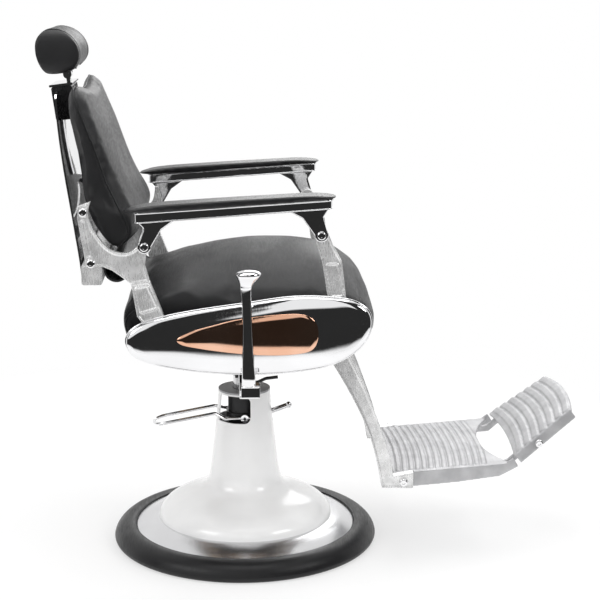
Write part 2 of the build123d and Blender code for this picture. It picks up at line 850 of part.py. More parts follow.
# ---------------------------------------------------------------------------
# Armrests and front posts
# ---------------------------------------------------------------------------
def front_post():
    """Post that carries the arm's front end; it turns on its lower pin."""
    face = poly(
        (143, 299),
        (158, 249),
        (162, 227),
        (170, 172),
        (162, 136),
        (201, 136),
        (208, 172),
        (202, 225),
        (199, 249),
        (181, 282),
        (171, 308),
    )
    face += disc(ARM_FRONT_PIVOT, ARM_LUG_R + 1)
    face += disc(FRONT_PIVOT, PIVOT_LUG_R)
    body = slab(face, POST_IN, POST_OUT)
    body -= slab(disc(FRONT_PIVOT, PIVOT_PIN_R + PIN_CLEAR), POST_IN - 1, POST_OUT + 1)
    body -= slab(disc(ARM_FRONT_PIVOT, ARM_PIN_R + OPEN_PIVOT_CLEAR), POST_IN - 1, POST_OUT + 1)
    recess = poly((169, 242), (171, 224), (178, 176), (200, 176), (194, 224), (190, 242))
    return body - slab(recess, POST_OUT - 2.5, POST_OUT + 1)


TRAY_LOW = ((-221, 334), (178, 361))
TRAY_HIGH = ((-221, 356), (178, 381))


def tray_line(u):
    """Height of the tray's underside at a forward distance."""
    (u0, v0), (u1, v1) = TRAY_LOW
    return v0 + (v1 - v0) * (u - u0) / (u1 - u0)


def plan_prism(rear, front, half, round_r):
    """Rounded plan outline about the arm's centre line, made tall."""
    middle = (rear + front) / 2
    outline = RectangleRounded(2 * half, front - rear, round_r)
    return Pos(-ARM_X, -middle, DATUM + 250) * extrude(outline, 300)


def arm_tray():
    outline = poly(TRAY_LOW[0], TRAY_LOW[1], TRAY_HIGH[1], TRAY_HIGH[0])
    side = slab(outline, ARM_X - ARM_TRAY_HALF, ARM_X + ARM_TRAY_HALF)
    return side & plan_prism(-221, 178, ARM_TRAY_HALF, 12)


def arm_pad():
    (u0, v0), (u1, v1) = TRAY_HIGH
    slope = (v1 - v0) / (u1 - u0)
    top = Spline(
        (-244, v0 + 5 - 23 * slope),
        (-219, 365),
        (-129, 374),
        (-28, 380),
        (72, 385),
        (150, 388),
        (187, v1 + 6),
    )
    under = Polyline(
        (187, v1 + 6), (187, v1 + 9 * slope), (-244, v0 - 23 * slope), (-244, v0 + 5 - 23 * slope)
    )
    side = slab(make_face(top + under), ARM_X - ARM_PAD_HALF, ARM_X + ARM_PAD_HALF)
    return side & plan_prism(-244, 187, ARM_PAD_HALF, 28)


def arm_brackets():
    """Two cast brackets under the tray, each with a lug for its pivot."""
    rear = poly(
        (-216, tray_line(-216)),
        (-203, 320),
        (ARM_REAR_PIVOT[0] - 14, ARM_REAR_PIVOT[1]),
        (ARM_REAR_PIVOT[0] + 14, ARM_REAR_PIVOT[1]),
        (-168, 318),
        (-138, tray_line(-138)),
    )
    rear += disc(ARM_REAR_PIVOT, ARM_LUG_R)
    front = poly(
        (88, tray_line(88)),
        (118, 339),
        (ARM_FRONT_PIVOT[0] - 14, ARM_FRONT_PIVOT[1]),
        (ARM_FRONT_PIVOT[0] + 14, ARM_FRONT_PIVOT[1]),
        (160, 340),
        (173, tray_line(173)),
    )
    front += disc(ARM_FRONT_PIVOT, ARM_LUG_R)
    rear_body = slab(rear, BRACKET_IN, BRACKET_OUT)
    rear_body -= slab(disc(ARM_REAR_PIVOT, ARM_PIN_R + PIN_CLEAR), BRACKET_IN - 1, BRACKET_OUT + 1)
    front_body = slab(front, BRACKET_IN, BRACKET_OUT)
    front_body -= slab(disc(ARM_FRONT_PIVOT, ARM_PIN_R), BRACKET_IN - 1, BRACKET_OUT + 1)
    return group(rear_body, front_body)


def arm_bolt():
    return button_bolt(ARM_FRONT_PIVOT, ARM_PIN_R, POST_IN, BRACKET_OUT, 9, 5)


# ---------------------------------------------------------------------------
# Leg rest
# ---------------------------------------------------------------------------
FOOT_BOLT = (344, -263)
TOE_PIVOT = (646.7, -188.3)


def leg():
    """Curved leg with a hub on the shaft and a forward foot at its lower end."""
    rear_edge = Spline(
        (174, 28), (200, -14), (233, -74), (263, -140), (281, -198), (292, -247), (297, -275)
    )
    foot = Polyline((297, -275), (366, -277), (366, -241), (321, -248))
    front_edge = Spline((321, -248), (311, -192), (292, -136), (267, -70), (235, 0), (216, 38))
    top = Line((216, 38), (174, 28))
    face = make_face(rear_edge + foot + front_edge + top) + disc(LEG_PIVOT, LEG_HUB_R)
    body = slab(face, LEG_IN, LEG_IN + LEG_T)
    body -= slab(disc(LEG_PIVOT, LEG_SHAFT_R + PIN_CLEAR), LEG_IN - 1, LEG_IN + LEG_T + 1)
    body -= slab(disc(FOOT_BOLT, 5), LEG_IN - 1, LEG_IN + LEG_T + 1)
    return body


def ribs(plane, start, end, half_start, half_end, count, width, sag):
    """Curved ribs across a plate, in its own plane: local y runs forward."""
    made = []
    for i in range(count):
        share = (i + 0.5) / count
        along = start + (end - start) * share
        half = half_start + (half_end - half_start) * share - 4
        arc = ThreePointArc((-half, along), (0, along + sag), (half, along))
        made.append(extrude(plane * trace(arc, width), RIB_H))
    return made


def slope_plane(low, high):
    """Plane through two side points: x to the sitter's right, y up the slope, normal upwards."""
    run = Vector(0, low[0] - high[0], high[1] - low[1]).normalized()
    return Plane(origin=(0, -low[0], DATUM + low[1]), x_dir=(-1, 0, 0), z_dir=Vector(-1, 0, 0).cross(run))


def span(low, high):
    return hypot(high[0] - low[0], high[1] - low[1])


def foot_plate():
    """Ribbed casting with side flanges and two arms that reach the toe pivot."""
    plane = slope_plane(FOOT_REAR, FOOT_FRONT)
    length = span(FOOT_REAR, FOOT_FRONT)
    half = LEG_IN - 1
    arc = ThreePointArc((half, length + 12), (0, length - 34), (-half, length + 12))
    face = make_face(arc + Polyline((-half, length + 12), (-half, 0), (half, 0), (half, length + 12)))
    body = extrude(plane * face, -FOOT_PLATE_T)
    for rib in ribs(plane, 6, length - 40, half, half, 14, 9, 10):
        body += rib
    flange = poly(
        (367, -244),
        (367, -278),
        (465, -270),
        (558, -258),
        (600, -236),
        (588, -217),
        (572, -229),
    )
    flange_body = slab(flange, LEG_IN - 1, LEG_IN + 5)
    tab = poly((330, -250), (330, -275), (380, -275), (380, -247))
    tab_body = slab(tab, LEG_IN - 6, LEG_IN)
    arm = poly(
        (535, -236),
        (540, -252),
        (585, -248),
        (603, -232),
        (651, -194),
        (643, -184),
        (594, -221),
        (583, -231),
        (572, -235),
    )
    arm += disc(TOE_PIVOT, 7)
    arm_body = slab(arm, 128, 136)
    body += flange_body + left(flange_body) + tab_body + left(tab_body) + arm_body + left(arm_body)
    bores = across(disc(TOE_PIVOT, 5), 150)
    holes = across(disc(FOOT_BOLT, 5), LEG_IN + 1)
    return body - bores - holes


def toe_plate():
    """Tapered ribbed plate with turned-down sides, on pivots in the foot plate's arms."""
    plane = slope_plane(TOE_LOW, TOE_HIGH)
    length = span(TOE_LOW, TOE_HIGH)
    low = FOOT_HALF
    high = TOE_TOP_HALF
    sides = Line((low, 0), (high, length - 8)) + Line((-high, length - 8), (-low, 0))
    top = ThreePointArc((high, length - 8), (0, length + 8), (-high, length - 8))
    bottom = ThreePointArc((-low, 0), (0, 10), (low, 0))
    face = make_face(sides + top + bottom)
    body = extrude(plane * face, -FOOT_PLATE_T)
    for rib in ribs(plane, 8, length - 8, low, high, 7, 15, 14):
        body += rib
    rim = poly((low, 4), (high, length - 10), (high - 6, length - 10), (low - 6, 4))
    flange = extrude(plane * rim, -24)
    body += flange + left(flange)
    bore = across(disc(TOE_PIVOT, 5 + PIN_CLEAR), 200)
    return body - bore


def foot_bolts():
    """Leg bolts and toe pivots, one each side."""
    leg_bolt = button_bolt(FOOT_BOLT, 5, LEG_IN - 6, LEG_IN + LEG_T, 9, 5)
    toe_bolt = button_bolt(TOE_PIVOT, 5, 128, 158, 9, 5)
    return group(leg_bolt, left(leg_bolt), toe_bolt, left(toe_bolt))


# ---------------------------------------------------------------------------
# Write the parts
# ---------------------------------------------------------------------------
SINGLE = (
    floor_plate,
    rubber_rim,
    base_dome,
    column_cover,
    cover_cap,
    pump_cylinder,
    guide_bush,
    cylinder_bolts,
    pedal_collar,
    pedal_loop,
    pedal_rod,
    ram_tube,
    ram_piston,
    thrust_collar,
    swivel_hub,
    seat_frame,
    seat_board,
    seat_cushion,
    post_pivot_pins,
    leg_shaft,
    lever_bracket,
    lever_arm,
    lever_upright,
    lever_knob,
    lever_link,
    back_plate,
    back_base_bar,
    back_cross_tube,
    backrest_cushion,
    back_bolts,
    headrest_holder,
    holder_cap,
    headrest_post,
    headrest_yoke,
    headrest_pad,
    foot_plate,
    toe_plate,
    foot_bolts,
)
PAIRS = (
    side_panel,
    inlay,
    side_frame,
    back_casting,
    rear_post,
    front_post,
    arm_tray,
    arm_pad,
    arm_brackets,
    arm_bolt,
    leg,
)
for make in SINGLE:
    save(make.__name__, make())
for make in PAIRS:
    save_pair(make.__name__, make())
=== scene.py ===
# %% [markdown]
# # A hydraulic barber chair, piece by piece
# The chair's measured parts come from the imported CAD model, which is called the frame here.
# This lesson dresses that frame: padded leather, crowned chrome, cast and ribbed metal, glossy
# paint, rubber and copper. Each step first says what the piece is on a real chair, then how it
# is made in Blender. Lengths are in metres, +X is the sitter's left, -Y is the way the chair
# faces, and the floor is at Z = 0.

# %% Setup
import json
import math

import bpy
import numpy as np
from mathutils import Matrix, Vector
from mathutils.kdtree import KDTree

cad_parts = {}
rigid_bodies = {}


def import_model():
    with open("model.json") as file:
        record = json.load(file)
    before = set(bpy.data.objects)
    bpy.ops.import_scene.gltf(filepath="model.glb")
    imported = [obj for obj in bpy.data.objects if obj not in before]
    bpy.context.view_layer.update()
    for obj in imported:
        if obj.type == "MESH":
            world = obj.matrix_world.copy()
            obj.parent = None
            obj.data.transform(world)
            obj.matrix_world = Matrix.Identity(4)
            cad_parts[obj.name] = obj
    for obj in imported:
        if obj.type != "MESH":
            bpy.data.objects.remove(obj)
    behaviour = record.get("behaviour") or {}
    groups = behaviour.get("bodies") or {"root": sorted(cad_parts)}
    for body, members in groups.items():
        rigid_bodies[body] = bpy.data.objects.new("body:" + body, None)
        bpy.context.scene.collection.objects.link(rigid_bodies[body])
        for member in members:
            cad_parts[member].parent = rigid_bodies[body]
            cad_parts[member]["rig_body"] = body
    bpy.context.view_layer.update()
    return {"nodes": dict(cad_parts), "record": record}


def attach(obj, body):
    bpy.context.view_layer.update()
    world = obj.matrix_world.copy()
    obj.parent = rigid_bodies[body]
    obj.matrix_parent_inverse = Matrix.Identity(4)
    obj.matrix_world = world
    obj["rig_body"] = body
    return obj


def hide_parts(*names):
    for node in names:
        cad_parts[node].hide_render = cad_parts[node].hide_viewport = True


bpy.ops.object.select_all(action="SELECT")
bpy.ops.object.delete()
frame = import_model()
NODES = frame["nodes"]

# %% [markdown]
# ## Small helpers
# Blender's operators act on whatever is selected, so every step starts by selecting one object
# and nothing else. `begin_edit` then picks faces by a rule, the way a click or a box would.

# %% Selecting and editing
MM = 0.001
MERGE_WITHIN = 0.02 * MM


def only(obj):
    """Selects this object alone and makes it active."""
    bpy.ops.object.select_all(action="DESELECT")
    obj.select_set(True)
    bpy.context.view_layer.objects.active = obj


def begin_edit(obj, rule=None):
    """Enters edit mode with the faces selected that the rule is true for, or none."""
    only(obj)
    bpy.ops.object.mode_set(mode="EDIT")
    bpy.ops.mesh.select_mode(type="FACE")
    bpy.ops.mesh.select_all(action="DESELECT")
    if rule:
        bpy.ops.object.mode_set(mode="OBJECT")
        for face in obj.data.polygons:
            face.select = bool(rule(face))
        bpy.ops.object.mode_set(mode="EDIT")


def end_edit():
    """Leaves edit mode."""
    bpy.ops.object.mode_set(mode="OBJECT")


def modify(obj, kind, **settings):
    """Adds a modifier, sets it and applies it."""
    only(obj)
    modifier = obj.modifiers.new(kind.lower(), kind)
    for name, value in settings.items():
        setattr(modifier, name, value)
    bpy.ops.object.modifier_apply(modifier=modifier.name)


def smooth_shade(obj, degrees):
    """Smooth shading that keeps edges sharper than the angle."""
    only(obj)
    bpy.ops.object.shade_smooth_by_angle(angle=math.radians(degrees))


print("helpers ready")

# %% [markdown]
# ## Starting from a CAD node
# A visible piece often starts as a copy of its CAD node, so that it keeps the measured outline.
# The node's mesh is loose triangles, so the copy's doubled corners are merged first.

# %% Copying, placing and handing over
def take(node, name):
    """A merged copy of a CAD node's mesh as a new object."""
    obj = bpy.data.objects.new(name, NODES[node].data.copy())
    bpy.context.scene.collection.objects.link(obj)
    obj.data.materials.clear()
    begin_edit(obj)
    bpy.ops.mesh.select_all(action="SELECT")
    bpy.ops.mesh.remove_doubles(threshold=MERGE_WITHIN)
    end_edit()
    if obj.data.has_custom_normals:
        bpy.ops.mesh.customdata_custom_splitnormals_clear()
    return obj


def hand_over(obj, material, *nodes, body=None):
    """Gives a piece its finish and its body, and hides the CAD nodes it stands for."""
    obj.data.materials.clear()
    obj.data.materials.append(material)
    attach(obj, body or NODES[nodes[0]]["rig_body"])
    if nodes:
        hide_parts(*nodes)
    print(obj.name, "faces:", len(obj.data.polygons), "stands for", nodes or "an added detail")


print("ready to copy nodes")

# %% [markdown]
# ## Camera
# The chair is seen from the sitter's right, a little from above, with a long lens.

# %% The camera
CAMERA_PLACE = Vector((-3.331, 0.032, 1.281))
CAMERA_YAW = math.radians(-2.73)
CAMERA_PITCH = math.radians(12.30)
CAMERA_LENS, CAMERA_SENSOR = 91.08, 36.0
looking = Vector((
    math.cos(CAMERA_YAW) * math.cos(CAMERA_PITCH),
    math.sin(CAMERA_YAW) * math.cos(CAMERA_PITCH),
    -math.sin(CAMERA_PITCH),
))
camera_data = bpy.data.cameras.new("camera")
camera_data.lens = CAMERA_LENS
camera_data.sensor_width = CAMERA_SENSOR
camera = bpy.data.objects.new("camera", camera_data)
camera.location = CAMERA_PLACE
camera.rotation_euler = looking.to_track_quat("-Z", "Y").to_euler()
bpy.context.scene.collection.objects.link(camera)
bpy.context.scene.camera = camera
print("camera looks along", [round(v, 3) for v in looking])

# %% [markdown]
# ## Light, world and floor
# A studio set: big soft lamps overhead and to the sides, a white backdrop behind the
# chair, and a dark room behind the camera with two white screens in it. Chrome only shows what
# surrounds it, so its black bands are that room and its hard-edged white patches are the
# screens and the floor. The camera sees the world as white; shiny surfaces see the room; plain
# surfaces get a soft even light.

# %% World
scene = bpy.context.scene
scene.view_settings.view_transform = "Standard"


def add(tree, kind, inputs=(), **settings):
    """A node with its settings, and its sockets set or linked."""
    made = tree.nodes.new(kind)
    for name, value in settings.items():
        setattr(made, name, value)
    for name, value in dict(inputs).items():
        if isinstance(value, bpy.types.NodeSocket):
            tree.links.new(value, made.inputs[name])
        else:
            made.inputs[name].default_value = value
    return made


def ramp(tree, factor, *stops):
    """A colour ramp; each stop is (position, grey value or colour)."""
    made = add(tree, "ShaderNodeValToRGB", {"Fac": factor})
    elements = made.color_ramp.elements
    while len(elements) < len(stops):
        elements.new(1.0)
    for element, (position, tone) in zip(elements, stops):
        element.position = position
        element.color = (tone, tone, tone, 1) if isinstance(tone, float) else (*tone, 1)
    return made.outputs["Color"]


def gate(tree, value, start, full):
    """0 at start and before, 1 at full and after, with a soft step between."""
    made = add(tree, "ShaderNodeMapRange", {"Value": value, "From Min": start, "From Max": full})
    made.interpolation_type = "SMOOTHSTEP"
    return made.outputs[0]


def calc(tree, operation, first, second=0.0):
    """One arithmetic step."""
    return add(tree, "ShaderNodeMath", {0: first, 1: second}, operation=operation).outputs[0]


AMBIENT = 0.78
# The room that chrome sees, in radians: each screen's left, right, low and high edge as seen
# from the chair, how soft those edges are, and where floor and ceiling turn bright.
SCREENS = ((-0.045, 0.25, 0.08, 0.95), (-1.35, -0.19, 0.05, 0.95))
SIDE_SOFT, LOW_SOFT, HIGH_SOFT = 0.01, 0.03, 0.05
FLOOR_GLOW = (-0.34, -0.40)
CEILING_GLOW = (1.00, 1.15)
BACKDROP_GLOW = (-0.05, 0.35)
ROOM_DARK, ROOM_BRIGHT = 0.025, 0.92
world = bpy.data.worlds.new("studio")
scene.world = world
world.use_nodes = True
tree = world.node_tree
tree.nodes.clear()
direction = add(tree, "ShaderNodeTexCoord").outputs["Generated"]
parts = add(tree, "ShaderNodeSeparateXYZ", {"Vector": direction}).outputs
toward = calc(tree, "ARCTAN2", calc(tree, "MULTIPLY", parts["Y"], -1.0),
              calc(tree, "MULTIPLY", parts["X"], -1.0))
rise = calc(tree, "ARCSINE", parts["Z"])
screens = []
for left_edge, right_edge, low_edge, high_edge in SCREENS:
    across_it = calc(tree, "MULTIPLY",
                     gate(tree, toward, left_edge - SIDE_SOFT, left_edge + SIDE_SOFT),
                     gate(tree, toward, right_edge + SIDE_SOFT, right_edge - SIDE_SOFT))
    up_it = calc(tree, "MULTIPLY", gate(tree, rise, low_edge - LOW_SOFT, low_edge + LOW_SOFT),
                 gate(tree, rise, high_edge + HIGH_SOFT, high_edge - HIGH_SOFT))
    screens.append(calc(tree, "MULTIPLY", across_it, up_it))
bright = calc(tree, "MAXIMUM", screens[0], screens[1])
bright = calc(tree, "MAXIMUM", bright, gate(tree, rise, *FLOOR_GLOW))
bright = calc(tree, "MAXIMUM", bright, gate(tree, rise, *CEILING_GLOW))
bright = calc(tree, "MAXIMUM", bright, gate(tree, parts["X"], *BACKDROP_GLOW))
tone = ramp(tree, bright, (0.0, ROOM_DARK), (1.0, ROOM_BRIGHT))
rays = add(tree, "ShaderNodeLightPath").outputs
plain = add(tree, "ShaderNodeBackground", {"Color": (1, 1, 1, 1), "Strength": AMBIENT})
mirror = add(tree, "ShaderNodeBackground", {"Color": tone, "Strength": 1.0})
white = add(tree, "ShaderNodeBackground", {"Color": (1, 1, 1, 1), "Strength": 1.0})
shiny = add(tree, "ShaderNodeMixShader", {0: rays["Is Glossy Ray"], 1: plain.outputs[0],
                                          2: mirror.outputs[0]})
seen = calc(tree, "MAXIMUM", rays["Is Camera Ray"], rays["Is Transmission Ray"])
shown = add(tree, "ShaderNodeMixShader", {0: seen, 1: shiny.outputs[0], 2: white.outputs[0]})
add(tree, "ShaderNodeOutputWorld", {"Surface": shown.outputs[0]})
print("world lights plain surfaces at", AMBIENT)


# %% Lamps
def softbox(name, place, aim, width, tall, watts):
    """A rectangular area lamp that the camera doesn't see."""
    data = bpy.data.lights.new(name, "AREA")
    data.shape = "RECTANGLE"
    data.size, data.size_y = width, tall
    data.energy = watts
    lamp = bpy.data.objects.new(name, data)
    lamp.location = place
    lamp.rotation_euler = (Vector(aim) - Vector(place)).to_track_quat("-Z", "Y").to_euler()
    lamp.visible_camera = False
    scene.collection.objects.link(lamp)


softbox("lamp_top", (0.0, 0.0, 3.2), (0, 0, 0.5), 2.4, 2.4, 34)
softbox("lamp_front", (-1.7, -2.3, 2.2), (0, 0, 0.6), 1.3, 1.0, 22)
softbox("lamp_rear", (-1.7, 2.3, 2.2), (0, 0, 0.6), 1.3, 1.0, 16)
softbox("lamp_far", (2.6, -0.6, 2.0), (0, 0, 0.6), 1.6, 1.2, 16)
print("four soft lamps")

# %% [markdown]
# The floor catches the chair's soft shadow. A plane would show its edge against the backdrop, so
# the floor is a disc that fades out before its rim. It glows a little towards the camera and in
# reflections, which keeps it as white as the backdrop behind it.

# %% Floor
FLOOR_R = 1.75
FLOOR_BELOW = 0.5 * MM
FADE_START, FADE_END = 1.30, 1.65
FLOOR_GLOW_SHARE = 0.55
bpy.ops.object.select_all(action="DESELECT")
bpy.ops.mesh.primitive_circle_add(vertices=96, radius=FLOOR_R, fill_type="NGON",
                                  location=(0, 0, -FLOOR_BELOW))
floor = bpy.context.object
floor.name = "floor"
floor_paint = bpy.data.materials.new("floor_paint")
floor_paint.use_nodes = True
tree = floor_paint.node_tree
tree.nodes.clear()
spot = add(tree, "ShaderNodeTexCoord").outputs["Object"]
away = add(tree, "ShaderNodeVectorMath", {0: spot}, operation="LENGTH")
fade = gate(tree, away.outputs["Value"], FADE_START, FADE_END)
matt = add(tree, "ShaderNodeBsdfDiffuse", {"Color": (0.95, 0.95, 0.95, 1)})
glow = add(tree, "ShaderNodeEmission", {"Color": (1, 1, 1, 1), "Strength": 1.0})
gone = add(tree, "ShaderNodeBsdfTransparent")
rays = add(tree, "ShaderNodeLightPath").outputs
seen = calc(tree, "MAXIMUM", rays["Is Camera Ray"], rays["Is Glossy Ray"])
share = calc(tree, "MULTIPLY", seen, FLOOR_GLOW_SHARE)
lit = add(tree, "ShaderNodeMixShader", {0: share, 1: matt.outputs[0], 2: glow.outputs[0]})
whole = add(tree, "ShaderNodeMixShader", {0: fade, 1: lit.outputs[0], 2: gone.outputs[0]})
add(tree, "ShaderNodeOutputMaterial", {"Surface": whole.outputs[0]})
floor.data.materials.append(floor_paint)
print("floor radius", FLOOR_R)

# %% [markdown]
# ## Surface effects shared by several finishes
# Wear, grain and cast skin appear on more than one material, so each is a node group that is
# built once. A group only puts out values that change over the surface; the shader itself, and
# every number that is the same all over, stay in the material.

# %% Node groups
VALUE = "NodeSocketFloat"


def new_group(name, inputs, outputs):
    """An empty shader group with float sockets."""
    tree = bpy.data.node_groups.new(name, "ShaderNodeTree")
    for label, value in inputs:
        socket = tree.interface.new_socket(label, in_out="INPUT", socket_type=VALUE)
        socket.default_value = value
    for label in outputs:
        tree.interface.new_socket(label, in_out="OUTPUT", socket_type=VALUE)
    entry = add(tree, "NodeGroupInput").outputs
    place = add(tree, "ShaderNodeTexCoord").outputs["Object"]
    return tree, entry, place


def blend_values(tree, factor, low, high):
    """A value that runs from low to high as the factor runs from 0 to 1."""
    made = add(tree, "ShaderNodeMapRange", {"Value": factor, "To Min": low, "To Max": high})
    return made.outputs[0]


# Hide grain: soft cells parted by fine creases, with broad unevenness under them.
grain, entry, place = new_group("hide_grain", [("Scale", 900.0)], ["Height"])
bend = add(grain, "ShaderNodeTexNoise", {"Vector": place, "Scale": 60.0, "Detail": 2.0})
push = add(grain, "ShaderNodeVectorMath", {0: bend.outputs["Color"], "Scale": 0.004},
           operation="SCALE")
moved = add(grain, "ShaderNodeVectorMath", {0: place, 1: push.outputs[0]}, operation="ADD")
cells = add(grain, "ShaderNodeTexVoronoi", {"Vector": moved.outputs[0], "Scale": entry["Scale"]},
            feature="DISTANCE_TO_EDGE")
crease = add(grain, "ShaderNodeMapRange", {"Value": cells.outputs["Distance"], "From Max": 0.16})
fine = add(grain, "ShaderNodeTexNoise", {"Vector": place, "Scale": 2600.0, "Detail": 1.0})
softly = calc(grain, "MULTIPLY", fine.outputs[0], 0.25)
add(grain, "NodeGroupOutput", {"Height": calc(grain, "ADD", crease.outputs[0], softly)})

# Handling: broad smudges crossed by fine drifting marks, between two values.
handling, entry, place = new_group("handling", [("Scale", 14.0), ("Low", 0.1), ("High", 0.2)],
                                   ["Value", "Mask"])
broad = add(handling, "ShaderNodeTexNoise", {"Vector": place, "Scale": entry["Scale"],
                                             "Detail": 5.0, "Roughness": 0.6})
drawn = add(handling, "ShaderNodeMapping", {"Vector": place, "Scale": (40.0, 420.0, 90.0),
                                            "Rotation": (0.4, 0.2, 0.7)})
marks = add(handling, "ShaderNodeTexNoise", {"Vector": drawn.outputs[0], "Scale": 1.0,
                                             "Detail": 3.0})
both = calc(handling, "MULTIPLY", broad.outputs[0], marks.outputs[0])
mask = add(handling, "ShaderNodeMapRange", {"Value": both, "From Min": 0.16, "From Max": 0.36})
level = blend_values(handling, mask.outputs[0], entry["Low"], entry["High"])
add(handling, "NodeGroupOutput", {"Value": level, "Mask": mask.outputs[0]})

# Cast skin: the pebbled surface a sand or die casting keeps under its polish.
skin, entry, place = new_group("cast_skin", [("Scale", 450.0)], ["Height"])
pebbles = add(skin, "ShaderNodeTexNoise", {"Vector": place, "Scale": entry["Scale"], "Detail": 3.0,
                                           "Roughness": 0.65})
spots = add(skin, "ShaderNodeTexVoronoi", {"Vector": place, "Scale": entry["Scale"]})
pits = add(skin, "ShaderNodeMapRange", {"Value": spots.outputs["Distance"], "From Min": 0.05,
                                        "From Max": 0.35})
deep = calc(skin, "MULTIPLY", pits.outputs[0], 0.4)
add(skin, "NodeGroupOutput", {"Height": calc(skin, "ADD", pebbles.outputs[0], deep)})
print("groups:", [g.name for g in bpy.data.node_groups])

# %% [markdown]
# ## Finishes
# Each finish is one Principled shader. Its colour drifts between two near tones, its roughness
# comes from the handling group, and a shallow bump gives it its grain.

# %% Building a finish
GROUPS = {"grain": (grain, "Height"), "skin": (skin, "Height"), "handling": (handling, "Mask")}
SMUDGE_SCALE = 14.0
TONE_EDGES = (0.35, 0.65)


def finish(name, dark, light, rough, metal=0.0, bump=None, tone_scale=9.0, **constants):
    """A material: two tones, a roughness range and a bump (group, scale, strength, depth in mm)."""
    material = bpy.data.materials.new(name)
    material.use_nodes = True
    tree = material.node_tree
    shader = tree.nodes["Principled BSDF"]
    place = add(tree, "ShaderNodeTexCoord").outputs["Object"]
    drift = add(tree, "ShaderNodeTexNoise", {"Vector": place, "Scale": tone_scale, "Detail": 4.0})
    tone = ramp(tree, drift.outputs[0], *zip(TONE_EDGES, (dark, light)))
    tree.links.new(tone, shader.inputs["Base Color"])
    wear = add(tree, "ShaderNodeGroup", node_tree=handling)
    wear.inputs["Scale"].default_value = SMUDGE_SCALE
    wear.inputs["Low"].default_value, wear.inputs["High"].default_value = rough
    tree.links.new(wear.outputs["Value"], shader.inputs["Roughness"])
    shader.inputs["Metallic"].default_value = metal
    for label, value in constants.items():
        shader.inputs[label.replace("_", " ")].default_value = value
    if bump:
        kind, scale, strength, depth = bump
        group, output = GROUPS[kind]
        relief = add(tree, "ShaderNodeGroup", node_tree=group)
        relief.inputs["Scale"].default_value = scale
        bumped = add(tree, "ShaderNodeBump", {"Height": relief.outputs[output],
                                              "Strength": strength, "Distance": depth * MM})
        tree.links.new(bumped.outputs[0], shader.inputs["Normal"])
    return material


FINISH = {
    "leather": finish("leather", (0.007, 0.007, 0.008), (0.013, 0.013, 0.014), (0.38, 0.50),
                      bump=("grain", 850.0, 0.30, 0.22), Specular_IOR_Level=0.36, Coat_Weight=0.05,
                      Coat_Roughness=0.3),
    "arm_leather": finish("arm_leather", (0.006, 0.006, 0.007), (0.011, 0.011, 0.012), (0.32, 0.42),
                          bump=("grain", 1100.0, 0.22, 0.18), Specular_IOR_Level=0.36,
                          Coat_Weight=0.1, Coat_Roughness=0.25),
    "chrome": finish("chrome", (0.86, 0.86, 0.87), (0.91, 0.91, 0.92), (0.02, 0.06), metal=1.0,
                     bump=("handling", 5.0, 0.03, 0.12)),
    "cast_metal": finish("cast_metal", (0.70, 0.70, 0.70), (0.90, 0.90, 0.90), (0.22, 0.36),
                         metal=0.55, bump=("handling", 60.0, 0.10, 0.15), tone_scale=40.0),
    "ribbed_metal": finish("ribbed_metal", (0.42, 0.42, 0.43), (0.52, 0.52, 0.53), (0.34, 0.50),
                           metal=0.35, bump=("skin", 700.0, 0.25, 0.2), tone_scale=30.0),
    "white_paint": finish("white_paint", (0.90, 0.90, 0.90), (0.94, 0.94, 0.94), (0.21, 0.235),
                          bump=("skin", 60.0, 0.02, 0.1), Coat_Weight=0.5, Coat_Roughness=0.08),
    "rubber": finish("rubber", (0.005, 0.005, 0.006), (0.010, 0.010, 0.011), (0.32, 0.48),
                     bump=("skin", 800.0, 0.25, 0.15), Specular_IOR_Level=0.36),
    "satin_steel": finish("satin_steel", (0.70, 0.70, 0.71), (0.76, 0.76, 0.77), (0.22, 0.26),
                          metal=1.0, bump=("handling", 30.0, 0.02, 0.05)),
    "copper": finish("copper", (0.80, 0.44, 0.29), (0.87, 0.53, 0.38), (0.03, 0.08), metal=1.0,
                     bump=("handling", 6.0, 0.03, 0.12)),
    "black_plastic": finish("black_plastic", (0.008, 0.008, 0.009), (0.016, 0.016, 0.017),
                            (0.22, 0.40), bump=("skin", 900.0, 0.2, 0.1)),
    "grey_plastic": finish("grey_plastic", (0.30, 0.30, 0.31), (0.38, 0.38, 0.39), (0.4, 0.55),
                           bump=("skin", 900.0, 0.2, 0.1)),
    "steel": finish("steel", (0.62, 0.62, 0.63), (0.74, 0.74, 0.75), (0.16, 0.30), metal=1.0,
                    bump=("handling", 30.0, 0.1, 0.1)),
    "black_steel": finish("black_steel", (0.014, 0.014, 0.015), (0.030, 0.030, 0.032),
                          (0.28, 0.45), metal=0.3, bump=("skin", 700.0, 0.2, 0.12)),
    "bronze": finish("bronze", (0.42, 0.27, 0.12), (0.55, 0.36, 0.18), (0.28, 0.42), metal=1.0,
                     bump=("handling", 20.0, 0.1, 0.1)),
    "board": finish("board", (0.20, 0.13, 0.08), (0.30, 0.21, 0.13), (0.60, 0.80),
                    bump=("skin", 300.0, 0.3, 0.3)),
}
print("finishes:", sorted(FINISH))

# %% Giving every CAD node its finish
RESTYLED = {"base_dome": "satin_steel"}
for subpart in frame["record"]["subparts"]:
    obj = NODES[subpart["node"]]
    obj.data.materials.clear()
    obj.data.materials.append(FINISH[RESTYLED.get(subpart["node"], subpart["material_slot"])])
print("nodes dressed")

# %% [markdown]
# ## Padded leather
# The seat, back, head and arm cushions are foam under stretched vinyl. They could be sculpted or
# built from bevelled boxes, but neither pulls in at the corners as a stretched cover does. So a
# pad starts as a copy of its CAD solid, is remeshed into even squares, shrunk a little and blown
# up by a short cloth simulation. How far a point may move is capped, because the foam under the
# cover holds its shape.

